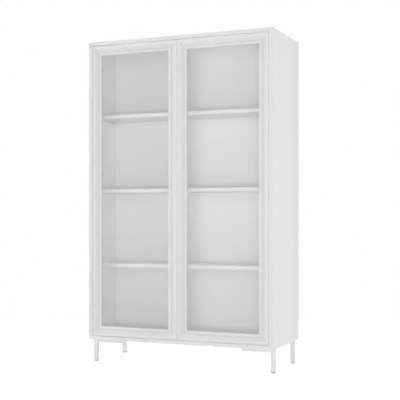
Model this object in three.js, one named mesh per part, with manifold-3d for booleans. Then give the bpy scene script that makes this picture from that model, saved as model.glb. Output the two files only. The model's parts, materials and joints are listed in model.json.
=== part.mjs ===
// Tall bookcase with two framed glass doors on steel L-shaped legs.
// Millimetres, +Z up. The origin is on the floor, midway across and midway front to back.
// The doors face -Y. "Left" and "right" are as seen by someone standing in front of the doors.

import * as THREE from 'three';
import { mergeVertices } from 'three/addons/utils/BufferGeometryUtils.js';
import Module from 'manifold-3d';

const wasm = await Module();
wasm.setup();

// Carcass
const width = 920;
const depth = 390;
const bodyHeight = 1412;
const legHeight = 108;
const boardThickness = 18;
const backThickness = 6;
const backFromFront = 240;
const grooveDepth = 8;

// Shelves and the rows of holes that they are pinned in
const shelfThickness = 16;
const shelfFrontInset = 35;
const looseShelfClearance = 1;
const holePitch = 32;
const pitchesBetweenShelves = 11;
const holesAboveAndBelow = 2;
const holeDepth = 10;
const holeRowFromShelfEdge = 32;
const pinRadius = 2.5;
const pinLength = 8;
const restRadius = 3;
const restLength = 9;

// Doors
const doorThickness = 20;
const doorSetback = 0.5;
const sideGap = 2.5;
const topGap = 2.2;
const middleGap = 2.5;

// Section of a door frame member, from its outer edge to the sight edge beside the glass
const rimWidth = 7.5;
const ogeeWidth = 13;
const ogeeDepth = 6.2;
const filletWidth = 4.5;
const filletSlope = 0.9;
const filletDepth = 5.2;
const hollowWidth = 11;
const hollowDepth = 6.8;
const beadWidth = 9;
const beadDepth = 4.6;
const beadRadius = 2.6;
const lipDepth = 12;
const lipWidth = 9;
const glassThickness = 4;
const stripDepth = 3.4;

// Legs of square steel tube
const tubeSize = 20;
const tubeWall = 1.5;
const tubeCornerRadius = 2.5;
const legSideInset = 4;
const legFrontInset = 38;
const bracketLength = 156;
const bracketHeight = 16;
const bracketScrewRadius = 2.5;
const bracketScrewSpacing = 80;
const glideHeight = 5;
const glideBevel = 0.8;
const plugLength = 16;
const plugWall = 1.8;

// Concealed hinges
const hingeFromDoorEnd = 100;
const middleHingeRise = 80;
const cupRadius = 13;
const cupDepth = 11.7;
const cupWall = 0.8;
const cupSetback = 5;
const flangeWidth = 1.3;
const flangeThickness = 0.8;
const earWidth = 12;
const earSpan = 52;
const earScrewSpacing = 42;
const cupPivotFromEdge = 12;
const cupPivotDepth = 7.3;
const cupPinRadius = 0.85;
const armPivotFromPanel = 30.9;
const armPivotBehindDoor = 4.2;
const armPinRadius = 1;
const linkWidth = 8;
const linkThickness = 1.8;
const linkWall = 0.8;
const linkSlotTravel = 2.3;
const linkSlotPlay = 0.4;
const noseRadius = 2.2;
const armWidth = 16;
const armReach = 65;
const armTop = 17.5;
const armUnderside = 3.5;
const armCrankLength = 16;
const armCrankThickness = 7;
const armEndChamfer = 3;
const armWall = 1.4;
const armSlotRadius = 2.6;
const armSlotReach = 13;
const plateThickness = 3;
const plateDepth = 16;
const plateSpan = 50;
const plateFromDoor = 37;
const plateScrewSpacing = 32;
const railWidth = 12;
const screwHoleRadius = 2.2;

// Push latches under the top panel
const latchFromDoorEdge = 60;
const latchLength = 72;
const latchWidth = 16;
const latchHeight = 14;
const latchCornerRadius = 3;
const latchFlangeThickness = 2;
const latchFlangeSpan = 34;
const latchFlangeLength = 20;
const latchFromDoor = 6.5;
const plungerDrop = 9;
const plungerRadius = 3.2;
const plungerTipRadius = 4;
const plungerTipLength = 2;
const plungerLength = 30;
const plungerStroke = 3;
const plungerFromDoor = 1;

// Clearances and cutters
const seatGap = 0.3;
const overrun = 4;

// Facets on round pieces, holes, cups, rounded corners and the door section's curves
const roundSides = 10;
const holeSides = 8;
const cupSides = 20;
const cornerSteps = 2;
const sectionSteps = 4;

// Path of a hinge link's neck, as shares of the distance between its two pivots:
// along the line from the arm's pivot to the cup's, and square to that line
const linkNeckShares = [
  [0, 0],
  [0.122, 0.14],
  [0.235, 0.275],
  [0.355, 0.367],
  [0.496, 0.392],
  [0.637, 0.351],
  [0.762, 0.22],
  [0.854, 0.098],
  [0.885, 0.001],
];
const linkNeckSteps = 10;

// Where the ogee's two control points lie, as shares of its width
const ogeeShares = [0.42, 0.5];

// Sizes worked out from the driving dimensions
const innerWidth = width - 2 * boardThickness;
const innerHeight = bodyHeight - 2 * boardThickness;
const frameWidth = rimWidth + ogeeWidth + filletWidth + hollowWidth + beadWidth;
const doorWidth = (innerWidth - 2 * sideGap - middleGap) / 2;
const doorHeight = innerHeight - 2 * topGap;
const frontY = -depth / 2;
const bodyMiddle = legHeight + bodyHeight / 2;
const innerSideX = innerWidth / 2;
const innerTop = legHeight + bodyHeight - boardThickness;
const doorEdgeX = innerSideX - sideGap;
const doorFrontY = frontY + doorSetback;
const doorBackY = doorFrontY + doorThickness;
const backPanelY = frontY + backFromFront;
const shelfPitch = pitchesBetweenShelves * holePitch;
const shelfDepth = backFromFront - shelfFrontInset - seatGap;
const holeRowsFromFront = [
  shelfFrontInset + holeRowFromShelfEdge,
  backFromFront - seatGap - holeRowFromShelfEdge,
];
const shelfRises = { upper: shelfPitch, middle: 0, lower: -shelfPitch };
const looseShelves = ['upper', 'lower'];
const hingeRises = {
  upper: doorHeight / 2 - hingeFromDoorEnd,
  middle: middleHingeRise,
  lower: hingeFromDoorEnd - doorHeight / 2,
};
const mitreInset = seatGap / Math.SQRT2;

// Left is at -X and right at +X
const sides = { left: -1, right: 1 };
const ends = { front: -1, back: 1 };

// Finishes
const white = { color: 0xf3f3f2, roughness: 0.42, metalness: 0 };
const clearGlass = { color: 0xe9f1ef, roughness: 0.03, metalness: 0, transparent: true, opacity: 0.3 };
const strip = { color: 0xe6e6e4, roughness: 0.6, metalness: 0 };
const whiteSteel = { color: 0xf0f0ef, roughness: 0.38, metalness: 0.1 };
const nickel = { color: 0xb9bbbd, roughness: 0.28, metalness: 0.95 };
const palePlastic = { color: 0xc6c8c8, roughness: 0.55, metalness: 0 };
const greyPlastic = { color: 0x8d9091, roughness: 0.6, metalness: 0 };
const whitePlastic = { color: 0xe9e9e7, roughness: 0.5, metalness: 0 };

// Booleans

function solidOf(geometry) {
  const bare = geometry.clone();
  bare.deleteAttribute('normal');
  bare.deleteAttribute('uv');
  const merged = mergeVertices(bare);
  return new wasm.Manifold(new wasm.Mesh({
    numProp: 3,
    vertProperties: new Float32Array(merged.attributes.position.array),
    triVerts: new Uint32Array(merged.index.array),
  }));
}

function geometryOf(solid) {
  const mesh = solid.getMesh();
  const geometry = new THREE.BufferGeometry();
  geometry.setAttribute('position', new THREE.BufferAttribute(new Float32Array(mesh.vertProperties), 3));
  geometry.setIndex(new THREE.BufferAttribute(new Uint32Array(mesh.triVerts), 1));
  geometry.computeVertexNormals();
  return geometry;
}

function joined(...geometries) {
  const solids = geometries.map(solidOf);
  return geometryOf(solids.reduce((whole, piece) => whole.add(piece)));
}

function cut(geometry, ...cutters) {
  const whole = solidOf(geometry);
  return geometryOf(cutters.map(solidOf).reduce((rest, cutter) => rest.subtract(cutter), whole));
}

// Basic shapes

function at(geometry, x, y, z) {
  return geometry.clone().translate(x, y, z);
}

function box(x, y, z) {
  return new THREE.BoxGeometry(x, y, z);
}

function roundedRectangle(x, y, radius) {
  const shape = new THREE.Shape();
  const [halfX, halfY] = [x / 2 - radius, y / 2 - radius];
  shape.absarc(halfX, halfY, radius, 0, Math.PI / 2);
  shape.absarc(-halfX, halfY, radius, Math.PI / 2, Math.PI);
  shape.absarc(-halfX, -halfY, radius, Math.PI, Math.PI * 1.5);
  shape.absarc(halfX, -halfY, radius, Math.PI * 1.5, Math.PI * 2);
  shape.closePath();
  return shape;
}

// Extrudes a shape along Z, centred on z = 0
function slab(shape, thickness) {
  const options = { depth: thickness, bevelEnabled: false, curveSegments: cornerSteps };
  return new THREE.ExtrudeGeometry(shape, options).translate(0, 0, -thickness / 2);
}

// Cylinders centred on the origin, along X, Y or Z
function rodX(radius, length, count = roundSides) {
  return new THREE.CylinderGeometry(radius, radius, length, count).rotateZ(Math.PI / 2);
}

function rodY(radius, length, count = roundSides) {
  return new THREE.CylinderGeometry(radius, radius, length, count);
}

function rodZ(radius, length, count = roundSides) {
  return new THREE.CylinderGeometry(radius, radius, length, count).rotateX(Math.PI / 2);
}

// A bar of constant section whose ends are mitred at 45 degrees.
// Section x runs inward from the outer face, section y runs back from the front,
// and the bar lies along z, shorter at both ends by the distance inward.
function mitredBar(section, length) {
  const options = { depth: 1, bevelEnabled: false, curveSegments: sectionSteps };
  const bar = new THREE.ExtrudeGeometry(section, options);
  const position = bar.attributes.position;
  for (let i = 0; i < position.count; i += 1) {
    const reach = length / 2 - position.getX(i) - mitreInset;
    position.setZ(i, position.getZ(i) > 0 ? reach : -reach);
  }
  bar.computeVertexNormals();
  return bar;
}

function polygon(points) {
  return new THREE.Shape(points.map(([x, y]) => new THREE.Vector2(x, y)));
}

function rectangle(x, y) {
  return polygon([[-x / 2, -y / 2], [x / 2, -y / 2], [x / 2, y / 2], [-x / 2, y / 2]]);
}

// Placing

function part(name, geometry, finish) {
  const mesh = new THREE.Mesh(geometry, new THREE.MeshStandardMaterial(finish));
  mesh.name = name;
  return mesh;
}

function placed(mesh, x, y, z) {
  mesh.position.set(x, y, z);
  return mesh;
}

// Turns a mitred bar so that its section's x points along `inward` and its y points back
function facing(mesh, inward) {
  const back = new THREE.Vector3(0, 1, 0);
  const along = new THREE.Vector3().crossVectors(inward, back);
  mesh.quaternion.setFromRotationMatrix(new THREE.Matrix4().makeBasis(inward, back, along));
  return mesh;
}

// Right-hand hardware is the left-hand hardware turned half a turn about Y
function handed(mesh, side) {
  mesh.rotation.y = side > 0 ? Math.PI : 0;
  return mesh;
}

// Carcass panels: four boards mitred at the corners, grooved for the back panel

function boardSection() {
  const grooveStart = backFromFront - seatGap;
  const grooveEnd = backFromFront + backThickness + seatGap;
  const grooveFloor = boardThickness - grooveDepth;
  return polygon([
    [0, 0],
    [boardThickness, 0],
    [boardThickness, grooveStart],
    [grooveFloor, grooveStart],
    [grooveFloor, grooveEnd],
    [boardThickness, grooveEnd],
    [boardThickness, depth],
    [0, depth],
  ]);
}

// Height of a shelf's pins above the middle of the body
function pinRise(shelf) {
  return shelfRises[shelf] - shelfThickness / 2 - seatGap - restRadius;
}

function pinHoles(side) {
  const holes = [];
  const hole = rodX(pinRadius + seatGap, holeDepth + overrun, holeSides);
  const holeX = boardThickness - holeDepth + (holeDepth + overrun) / 2;
  for (const shelf of looseShelves) {
    for (const fromFront of holeRowsFromFront) {
      for (let step = -holesAboveAndBelow; step <= holesAboveAndBelow; step += 1) {
        const rise = pinRise(shelf) + step * holePitch;
        holes.push(at(hole, holeX, fromFront, -side * rise));
      }
    }
  }
  return holes;
}

function sidePanel(name, side) {
  const bored = cut(mitredBar(boardSection(), bodyHeight), ...pinHoles(side));
  const mesh = facing(part(`${name}_side_panel`, bored, white), new THREE.Vector3(-side, 0, 0));
  return placed(mesh, side * width / 2, frontY, bodyMiddle);
}

function endPanel(name, z, up) {
  const mesh = part(name, mitredBar(boardSection(), width), white);
  return placed(facing(mesh, new THREE.Vector3(0, 0, up)), 0, frontY, z);
}

function backPanel() {
  const reach = 2 * (grooveDepth - seatGap);
  const sheet = box(innerWidth + reach, backThickness, innerHeight + reach);
  return placed(part('back_panel', sheet, white), 0, backPanelY + backThickness / 2, bodyMiddle);
}

// Shelves and the pins that carry the two loose ones

function shelf(name) {
  const clearance = looseShelves.includes(name) ? looseShelfClearance : seatGap;
  const board = box(innerWidth - 2 * clearance, shelfDepth, shelfThickness);
  const y = frontY + shelfFrontInset + shelfDepth / 2;
  return placed(part(`shelf_${name}`, board, white), 0, y, bodyMiddle + shelfRises[name]);
}

// A peg that pushes into a side panel, with a thicker rest under the shelf.
// Turned about Y with the panel's face at y = 0 and the rest on the +Y side.
function pinGeometry() {
  const roundOver = restRadius / 4;
  const profile = [
    [0, -pinLength],
    [pinRadius - roundOver, -pinLength],
    [pinRadius, -pinLength + roundOver],
    [pinRadius, seatGap],
    [restRadius, seatGap],
    [restRadius, restLength - roundOver],
    [restRadius - roundOver, restLength],
    [0, restLength],
  ];
  const points = profile.map(([radius, along]) => new THREE.Vector2(radius, along));
  return new THREE.LatheGeometry(points, roundSides).rotateZ(-Math.PI / 2);
}

function shelfPins(shelfName) {
  const pins = [];
  for (const [sideName, side] of Object.entries(sides)) {
    for (const [index, endName] of Object.keys(ends).entries()) {
      const pin = part(`${shelfName}_shelf_pin_${sideName}_${endName}`, pinGeometry(), nickel);
      const y = frontY + holeRowsFromFront[index];
      pins.push(placed(handed(pin, side), side * innerSideX, y, bodyMiddle + pinRise(shelfName)));
    }
  }
  return pins;
}

// Legs: an upright tube welded to a bracket tube that lies under the bottom panel.
// The upright's axis is at x = 0, its foot at z = glideHeight, and the bracket runs along +X.

function tube(wide, deep, radius, length) {
  return slab(roundedRectangle(wide, deep, radius), length);
}

function legGeometry() {
  const top = legHeight - seatGap;
  const bore = tubeSize - 2 * tubeWall;
  const uprightLength = top - glideHeight;
  const uprightZ = top - uprightLength / 2;
  const upright = at(tube(tubeSize, tubeSize, tubeCornerRadius, uprightLength), 0, 0, uprightZ);
  const bracket = tube(bracketHeight, tubeSize, tubeCornerRadius, bracketLength).rotateY(Math.PI / 2);
  const bracketX = (bracketLength - tubeSize) / 2;
  const bracketZ = top - bracketHeight / 2;
  const uprightBore = at(box(bore, bore, uprightLength), 0, 0, top - tubeWall - uprightLength / 2);
  const bracketBore = box(bracketLength - 2 * tubeWall, bore, bracketHeight - 2 * tubeWall);
  const screwHole = rodZ(bracketScrewRadius, bracketHeight + overrun, holeSides);
  const middleX = bracketX + tubeSize / 2;
  const holes = [-1, 1].map((end) => (
    at(screwHole, middleX + end * bracketScrewSpacing / 2, 0, bracketZ)
  ));
  const steel = joined(upright, at(bracket, bracketX, 0, bracketZ));
  return cut(steel, uprightBore, at(bracketBore, bracketX, 0, bracketZ), ...holes);
}

// A plastic foot with a hollow plug that fits in the tube. It stands on z = 0.
function glideGeometry() {
  const footSize = tubeSize - 2 * glideBevel;
  const foot = new THREE.ExtrudeGeometry(roundedRectangle(footSize, footSize, glideBevel), {
    depth: glideHeight - seatGap - 2 * glideBevel,
    bevelThickness: glideBevel,
    bevelSize: glideBevel,
    bevelSegments: 1,
    curveSegments: cornerSteps,
  }).translate(0, 0, glideBevel);
  const plugSize = tubeSize - 2 * tubeWall - 2 * seatGap;
  const plugTop = glideHeight + plugLength;
  const plug = at(tube(plugSize, plugSize, tubeCornerRadius / 2, plugTop - glideBevel), 0, 0,
    (plugTop + glideBevel) / 2);
  const hollowSize = plugSize - 2 * plugWall;
  const hollow = at(box(hollowSize, hollowSize, plugLength), 0, 0, glideHeight + plugLength / 2);
  return cut(joined(foot, plug), at(hollow, 0, 0, seatGap));
}

function legs() {
  const meshes = [];
  const legX = width / 2 - legSideInset - tubeSize / 2;
  const legY = depth / 2 - legFrontInset - tubeSize / 2;
  for (const [sideName, side] of Object.entries(sides)) {
    for (const [endName, end] of Object.entries(ends)) {
      const leg = part(`${endName}_${sideName}_leg`, legGeometry(), whiteSteel);
      leg.rotation.z = side > 0 ? Math.PI : 0;
      meshes.push(placed(leg, side * legX, end * legY, 0));
      const glide = part(`${endName}_${sideName}_glide`, glideGeometry(), palePlastic);
      meshes.push(placed(glide, side * legX, end * legY, 0));
    }
  }
  return meshes;
}

// Doors

// A flat rim, an ogee down to a narrow raised fillet, a hollow, and a bead beside the glass
function frameSection() {
  const filletStart = rimWidth + ogeeWidth;
  const hollowStart = filletStart + filletWidth;
  const beadStart = hollowStart + hollowWidth;
  const rebate = frameWidth - lipWidth;
  const section = new THREE.Shape();
  section.moveTo(0, 0);
  section.lineTo(rimWidth, 0);
  section.bezierCurveTo(
    rimWidth + ogeeWidth * ogeeShares[0], 0,
    rimWidth + ogeeWidth * ogeeShares[1], ogeeDepth,
    filletStart, ogeeDepth,
  );
  section.lineTo(filletStart + filletSlope, filletDepth);
  section.lineTo(hollowStart - filletSlope, filletDepth);
  section.lineTo(hollowStart, hollowDepth);
  section.lineTo(beadStart, hollowDepth);
  section.quadraticCurveTo(beadStart, beadDepth, beadStart + beadRadius, beadDepth);
  section.lineTo(frameWidth - beadRadius, beadDepth);
  section.quadraticCurveTo(frameWidth, beadDepth, frameWidth, beadDepth + beadRadius);
  section.lineTo(frameWidth, lipDepth);
  section.lineTo(rebate, lipDepth);
  section.lineTo(rebate, doorThickness);
  section.lineTo(0, doorThickness);
  section.closePath();
  return section;
}

function cupBores(side) {
  const bore = rodY(cupRadius + seatGap, cupDepth + seatGap + overrun, cupSides);
  const boreY = doorThickness - cupDepth - seatGap + (cupDepth + seatGap + overrun) / 2;
  return Object.values(hingeRises).map((rise) => (
    at(bore, cupSetback + cupRadius, boreY, -side * rise)
  ));
}

// The frame's members, in a group whose origin is the middle of the door's hinged edge, at its front
function frameMembers(name, side) {
  const inward = new THREE.Vector3(-side, 0, 0);
  const stile = mitredBar(frameSection(), doorHeight);
  const rail = mitredBar(frameSection(), doorWidth);
  const middleX = -side * doorWidth / 2;
  const hingeStile = part(`${name}_door_hinge_stile`, cut(stile, ...cupBores(side)), white);
  const meetingStile = part(`${name}_door_meeting_stile`, stile.clone(), white);
  const topRail = part(`${name}_door_top_rail`, rail.clone(), white);
  const bottomRail = part(`${name}_door_bottom_rail`, rail.clone(), white);
  return [
    facing(hingeStile, inward),
    placed(facing(meetingStile, inward.clone().negate()), -side * doorWidth, 0, 0),
    placed(facing(topRail, new THREE.Vector3(0, 0, -1)), middleX, 0, doorHeight / 2),
    placed(facing(bottomRail, new THREE.Vector3(0, 0, 1)), middleX, 0, -doorHeight / 2),
  ];
}

// A glass pane behind the lip, held by a plastic strip that runs round behind it
function glazing(name, side) {
  const rebateInset = frameWidth - lipWidth + seatGap;
  const paneX = doorWidth - 2 * rebateInset;
  const paneZ = doorHeight - 2 * rebateInset;
  const paneY = lipDepth + seatGap + glassThickness / 2;
  const stripY = lipDepth + 2 * seatGap + glassThickness + stripDepth / 2;
  const ring = rectangle(paneX, paneZ);
  ring.holes.push(rectangle(doorWidth - 2 * frameWidth, doorHeight - 2 * frameWidth));
  const middleX = -side * doorWidth / 2;
  return [
    placed(part(`${name}_door_glass`, box(paneX, glassThickness, paneZ), clearGlass), middleX, paneY, 0),
    placed(part(`${name}_door_glazing_strip`, slab(ring, stripDepth).rotateX(Math.PI / 2), strip),
      middleX, stripY, 0),
  ];
}

// Hinges. Each piece is drawn for the left side, with x = 0 on the side panel's inner face,
// y = 0 on the door's back face and z = 0 at the hinge's middle.

const cupX = sideGap + cupSetback + cupRadius;
const cupPivot = new THREE.Vector2(sideGap + cupPivotFromEdge, -cupPivotDepth);
const armPivot = new THREE.Vector2(armPivotFromPanel, armPivotBehindDoor);

// The cup with its flange and two screwed ears, and the pin that the link's slot rides on
function cupGeometry() {
  const cavityRadius = cupRadius - cupWall;
  const flangeTop = seatGap + flangeThickness;
  const profile = [
    [0, -cupDepth],
    [cupRadius - cupWall, -cupDepth],
    [cupRadius, -cupDepth + cupWall],
    [cupRadius, seatGap],
    [cupRadius + flangeWidth, seatGap],
    [cupRadius + flangeWidth, flangeTop],
    [cavityRadius, flangeTop],
    [cavityRadius, -cupDepth + cupWall],
    [0, -cupDepth + cupWall],
  ];
  const points = profile.map(([radius, y]) => new THREE.Vector2(radius, y));
  const shell = at(new THREE.LatheGeometry(points, cupSides), cupX, 0, 0);
  const ears = at(slab(roundedRectangle(earWidth, earSpan, earWidth / 3), flangeThickness)
    .rotateX(Math.PI / 2), cupX, seatGap + flangeThickness / 2, 0);
  const cavity = at(rodY(cavityRadius, cupDepth, cupSides), cupX, cupWall, 0);
  const screwHoles = [-1, 1].map((end) => (
    at(rodY(screwHoleRadius, overrun, holeSides), cupX, seatGap, end * earScrewSpacing / 2)
  ));
  const pinLengthInCup = 2 * Math.sqrt(cavityRadius ** 2 - (cupX - cupPivot.x) ** 2) + cupWall;
  const pin = at(rodZ(cupPinRadius, pinLengthInCup), cupPivot.x, cupPivot.y, 0);
  return joined(cut(joined(shell, ears), cavity, ...screwHoles), pin);
}

// Outline of a strip of even thickness along a curve
function stroke(curve, thickness, steps) {
  const outer = [];
  const inner = [];
  for (let i = 0; i <= steps; i += 1) {
    const point = curve.getPoint(i / steps);
    const tangent = curve.getTangent(i / steps);
    const offset = new THREE.Vector2(-tangent.y, tangent.x).multiplyScalar(thickness / 2);
    outer.push(point.clone().add(offset));
    inner.push(point.clone().sub(offset));
  }
  return new THREE.Shape([...outer, ...inner.reverse()]);
}

// A bar along +X with a round far end
function tongue(start, length, radius) {
  const outline = new THREE.Shape();
  outline.moveTo(start, -radius);
  outline.absarc(length, 0, radius, -Math.PI / 2, Math.PI / 2);
  outline.lineTo(start, radius);
  outline.closePath();
  return outline;
}

// A goose-necked link that turns on the arm's pin and wraps round the door's edge into the cup.
// Its forked tip lets the cup's pin run towards the arm and back as the door swings.
function linkGeometry() {
  const span = cupPivot.clone().sub(armPivot);
  const square = new THREE.Vector2(-span.y, span.x);
  const neckPoints = linkNeckShares.map(([along, across]) => (
    armPivot.clone().addScaledVector(span, along).addScaledVector(square, across)
  ));
  const neck = slab(stroke(new THREE.SplineCurve(neckPoints), linkThickness, linkNeckSteps), linkWidth);
  const turn = Math.atan2(-span.y, -span.x);
  const onCupPin = (outline, height) => (
    at(slab(outline, height).rotateZ(turn), cupPivot.x, cupPivot.y, 0)
  );
  const slotRadius = cupPinRadius + seatGap + linkSlotPlay;
  const tip = onCupPin(tongue(0, linkSlotTravel, slotRadius + linkWall), linkWidth);
  const slot = onCupPin(tongue(-overrun, linkSlotTravel, slotRadius), linkWidth + overrun);
  const eye = at(rodZ(armPinRadius + seatGap + linkWall, linkWidth), armPivot.x, armPivot.y, 0);
  const eyeHole = at(rodZ(armPinRadius + seatGap, linkWidth + overrun), armPivot.x, armPivot.y, 0);
  return cut(joined(neck, eye, tip), eyeHole, slot);
}

// The cranked arm on its mounting plate, with a forked nose and a pin for the link
function armGeometry() {
  const noseLeft = armPivot.x - noseRadius;
  const noseRight = armPivot.x + noseRadius;
  const crankEnd = armPivot.y + armCrankLength;
  const outline = new THREE.Shape();
  outline.moveTo(noseRight, armPivot.y);
  outline.lineTo(noseRight, armPivot.y + armCrankThickness / 2);
  outline.lineTo(armTop, crankEnd);
  outline.lineTo(armTop, armReach - armEndChamfer);
  outline.lineTo(armTop - armEndChamfer, armReach);
  outline.lineTo(armUnderside, armReach);
  outline.lineTo(armUnderside, crankEnd);
  outline.lineTo((armUnderside + noseLeft) / 2, armPivot.y + armCrankThickness);
  outline.lineTo(noseLeft, armPivot.y);
  outline.absarc(armPivot.x, armPivot.y, noseRadius, Math.PI, Math.PI * 2);
  const arm = slab(outline, armWidth);
  const railLength = armReach - crankEnd;
  const channelLength = railLength - armWall + overrun;
  const channel = at(box(armTop - armWall + overrun, channelLength, armWidth - 2 * armWall),
    (armTop - armWall - overrun) / 2, crankEnd + armWall + channelLength / 2, 0);
  const slot = slab(tongue(-overrun, armSlotReach, armSlotRadius), armWall + overrun)
    .rotateZ(-Math.PI / 2)
    .rotateY(Math.PI / 2);
  const rail = at(box(plateThickness + armUnderside, railLength, railWidth),
    seatGap + (plateThickness + armUnderside) / 2, crankEnd + railLength / 2, 0);
  const plate = at(slab(roundedRectangle(plateSpan, plateDepth, plateDepth / 4), plateThickness)
    .rotateY(Math.PI / 2), seatGap + plateThickness / 2, plateFromDoor, 0);
  const screwHole = rodX(screwHoleRadius, plateThickness + overrun, holeSides);
  const screwHoles = [-1, 1].map((end) => (
    at(screwHole, 0, plateFromDoor, end * plateScrewSpacing / 2)
  ));
  const forkLength = armCrankLength / 2;
  const fork = at(box(armCrankLength + overrun, forkLength + overrun, linkWidth + 2 * seatGap),
    armPivot.x, armPivot.y + forkLength / 2 - overrun / 2, 0);
  const pin = at(rodZ(armPinRadius, armWidth - seatGap), armPivot.x, armPivot.y, 0);
  const shell = cut(arm, channel, at(slot, armTop - armWall / 2, armReach, 0));
  return joined(cut(joined(shell, rail, plate), fork, ...screwHoles), pin);
}

function hingeParts(name, side, kind, geometry, finish) {
  return Object.entries(hingeRises).map(([place, rise]) => (
    placed(handed(part(`${name}_hinge_${kind}_${place}`, geometry.clone(), finish), side),
      side * innerSideX, doorBackY, bodyMiddle + rise)
  ));
}

// Push latches: a housing screwed under the top panel and the plunger that the door presses.
// Both are drawn with y = 0 on the door's back face and z = 0 on the top panel's underside.

const plungerZ = -seatGap - plungerDrop;

function latchHousingGeometry() {
  const body = at(slab(roundedRectangle(latchWidth, latchHeight, latchCornerRadius), latchLength)
    .rotateX(Math.PI / 2), 0, latchFromDoor + latchLength / 2, -seatGap - latchHeight / 2);
  const flangeY = latchFromDoor + latchLength - latchFlangeLength / 2;
  const flange = at(slab(roundedRectangle(latchFlangeSpan, latchFlangeLength, latchCornerRadius),
    latchFlangeThickness), 0, flangeY, -seatGap - latchFlangeThickness / 2);
  const screwX = (latchFlangeSpan + latchWidth) / 4;
  const screwHoles = [-1, 1].map((end) => (
    at(rodZ(screwHoleRadius, latchFlangeThickness + overrun, holeSides), end * screwX, flangeY, -seatGap)
  ));
  const boreLength = plungerFromDoor + plungerLength + plungerStroke + seatGap - latchFromDoor;
  const bore = at(rodY(plungerRadius + seatGap, boreLength + overrun), 0,
    latchFromDoor + (boreLength - overrun) / 2, plungerZ);
  return cut(joined(body, flange), bore, ...screwHoles);
}

// A shaft with a rounded rubber tip at its front
function plungerGeometry() {
  const roundOver = plungerTipLength / 3;
  const profile = [
    [0, 0],
    [plungerTipRadius - roundOver, 0],
    [plungerTipRadius, roundOver],
    [plungerTipRadius, plungerTipLength - seatGap],
    [plungerRadius, plungerTipLength - seatGap],
    [plungerRadius, plungerLength],
    [0, plungerLength],
  ];
  const points = profile.map(([radius, y]) => new THREE.Vector2(radius, y));
  return at(new THREE.LatheGeometry(points, roundSides), 0, plungerFromDoor, plungerZ);
}

function latchX(side) {
  return side * (doorEdgeX - doorWidth + latchFromDoorEdge);
}

// Assembly

function groupOf(...members) {
  const group = new THREE.Group();
  members.forEach((member) => group.add(member));
  return group;
}

function doorGroup(name, side) {
  const frame = groupOf(...frameMembers(name, side), ...glazing(name, side));
  frame.position.set(side * doorEdgeX, doorFrontY, bodyMiddle);
  return groupOf(frame, ...hingeParts(name, side, 'cup', cupGeometry(), nickel));
}

function carcassGroup() {
  const panels = groupOf(
    ...Object.entries(sides).map(([name, side]) => sidePanel(name, side)),
    endPanel('top_panel', legHeight + bodyHeight, -1),
    endPanel('bottom_panel', legHeight, 1),
    backPanel(),
  );
  const shelves = groupOf(...Object.keys(shelfRises).map(shelf), ...looseShelves.flatMap(shelfPins));
  const hardware = groupOf();
  for (const [name, side] of Object.entries(sides)) {
    hardware.add(...hingeParts(name, side, 'arm', armGeometry(), nickel));
    const housing = part(`${name}_latch_housing`, latchHousingGeometry(), whitePlastic);
    hardware.add(placed(housing, latchX(side), doorBackY, innerTop));
  }
  return groupOf(panels, shelves, groupOf(...legs()), hardware);
}

const group = groupOf(carcassGroup());
for (const [name, side] of Object.entries(sides)) {
  group.add(doorGroup(name, side));
  group.add(groupOf(...hingeParts(name, side, 'link', linkGeometry(), nickel)));
  const plunger = part(`${name}_latch_plunger`, plungerGeometry(), greyPlastic);
  group.add(placed(plunger, latchX(side), doorBackY, innerTop));
}

export default group;
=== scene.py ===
"""A white bookcase with two framed glass doors: its finishes, its small fixings and a plain studio.

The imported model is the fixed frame, and all its solids keep their shapes. They get their finishes
here, and the boards and the door frames get softened edges as well. Screws, covers, clips and
strike discs are made here as surfaces.
"""

import json
import math

import bpy
import numpy as np
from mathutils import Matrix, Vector


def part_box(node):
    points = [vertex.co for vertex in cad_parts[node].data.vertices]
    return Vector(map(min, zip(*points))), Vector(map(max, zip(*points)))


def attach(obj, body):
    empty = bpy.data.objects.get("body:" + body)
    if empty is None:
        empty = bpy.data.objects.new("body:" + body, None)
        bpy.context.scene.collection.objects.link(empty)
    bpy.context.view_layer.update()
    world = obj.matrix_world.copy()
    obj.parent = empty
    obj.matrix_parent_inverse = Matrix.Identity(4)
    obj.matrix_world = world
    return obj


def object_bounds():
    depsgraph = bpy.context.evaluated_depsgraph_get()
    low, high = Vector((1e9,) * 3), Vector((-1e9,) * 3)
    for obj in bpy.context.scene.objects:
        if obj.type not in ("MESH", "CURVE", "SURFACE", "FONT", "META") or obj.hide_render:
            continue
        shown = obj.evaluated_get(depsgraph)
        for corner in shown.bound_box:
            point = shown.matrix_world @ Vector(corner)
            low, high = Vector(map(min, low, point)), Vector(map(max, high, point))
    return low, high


bl_info = {
    "name": "Glazed bookcase",
    "version": (1, 0, 0),
    "blender": (4, 5, 0),
    "location": "3D View > Sidebar > Bookcase",
    "description": "Finishes, fixings and studio of a white bookcase with two glass doors",
    "category": "Object",
}

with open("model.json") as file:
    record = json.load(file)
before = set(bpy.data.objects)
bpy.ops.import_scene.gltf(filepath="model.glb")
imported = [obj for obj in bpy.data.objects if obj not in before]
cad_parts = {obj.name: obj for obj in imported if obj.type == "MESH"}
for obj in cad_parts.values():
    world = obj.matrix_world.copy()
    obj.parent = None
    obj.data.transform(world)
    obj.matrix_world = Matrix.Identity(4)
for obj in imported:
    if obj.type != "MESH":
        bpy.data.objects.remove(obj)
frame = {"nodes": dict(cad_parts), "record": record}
CAD_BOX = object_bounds()

SIDES = {"left": -1, "right": 1}
HINGE_HEIGHTS = ("upper", "middle", "lower")

# Edges and shading
MERGE_DISTANCE = 1e-5
DISSOLVE_ANGLE = math.radians(0.5)
BEVEL_ANGLE = math.radians(40)
SMOOTH_ANGLE = math.radians(28)
BEVEL_SEGMENTS = 2

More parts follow.
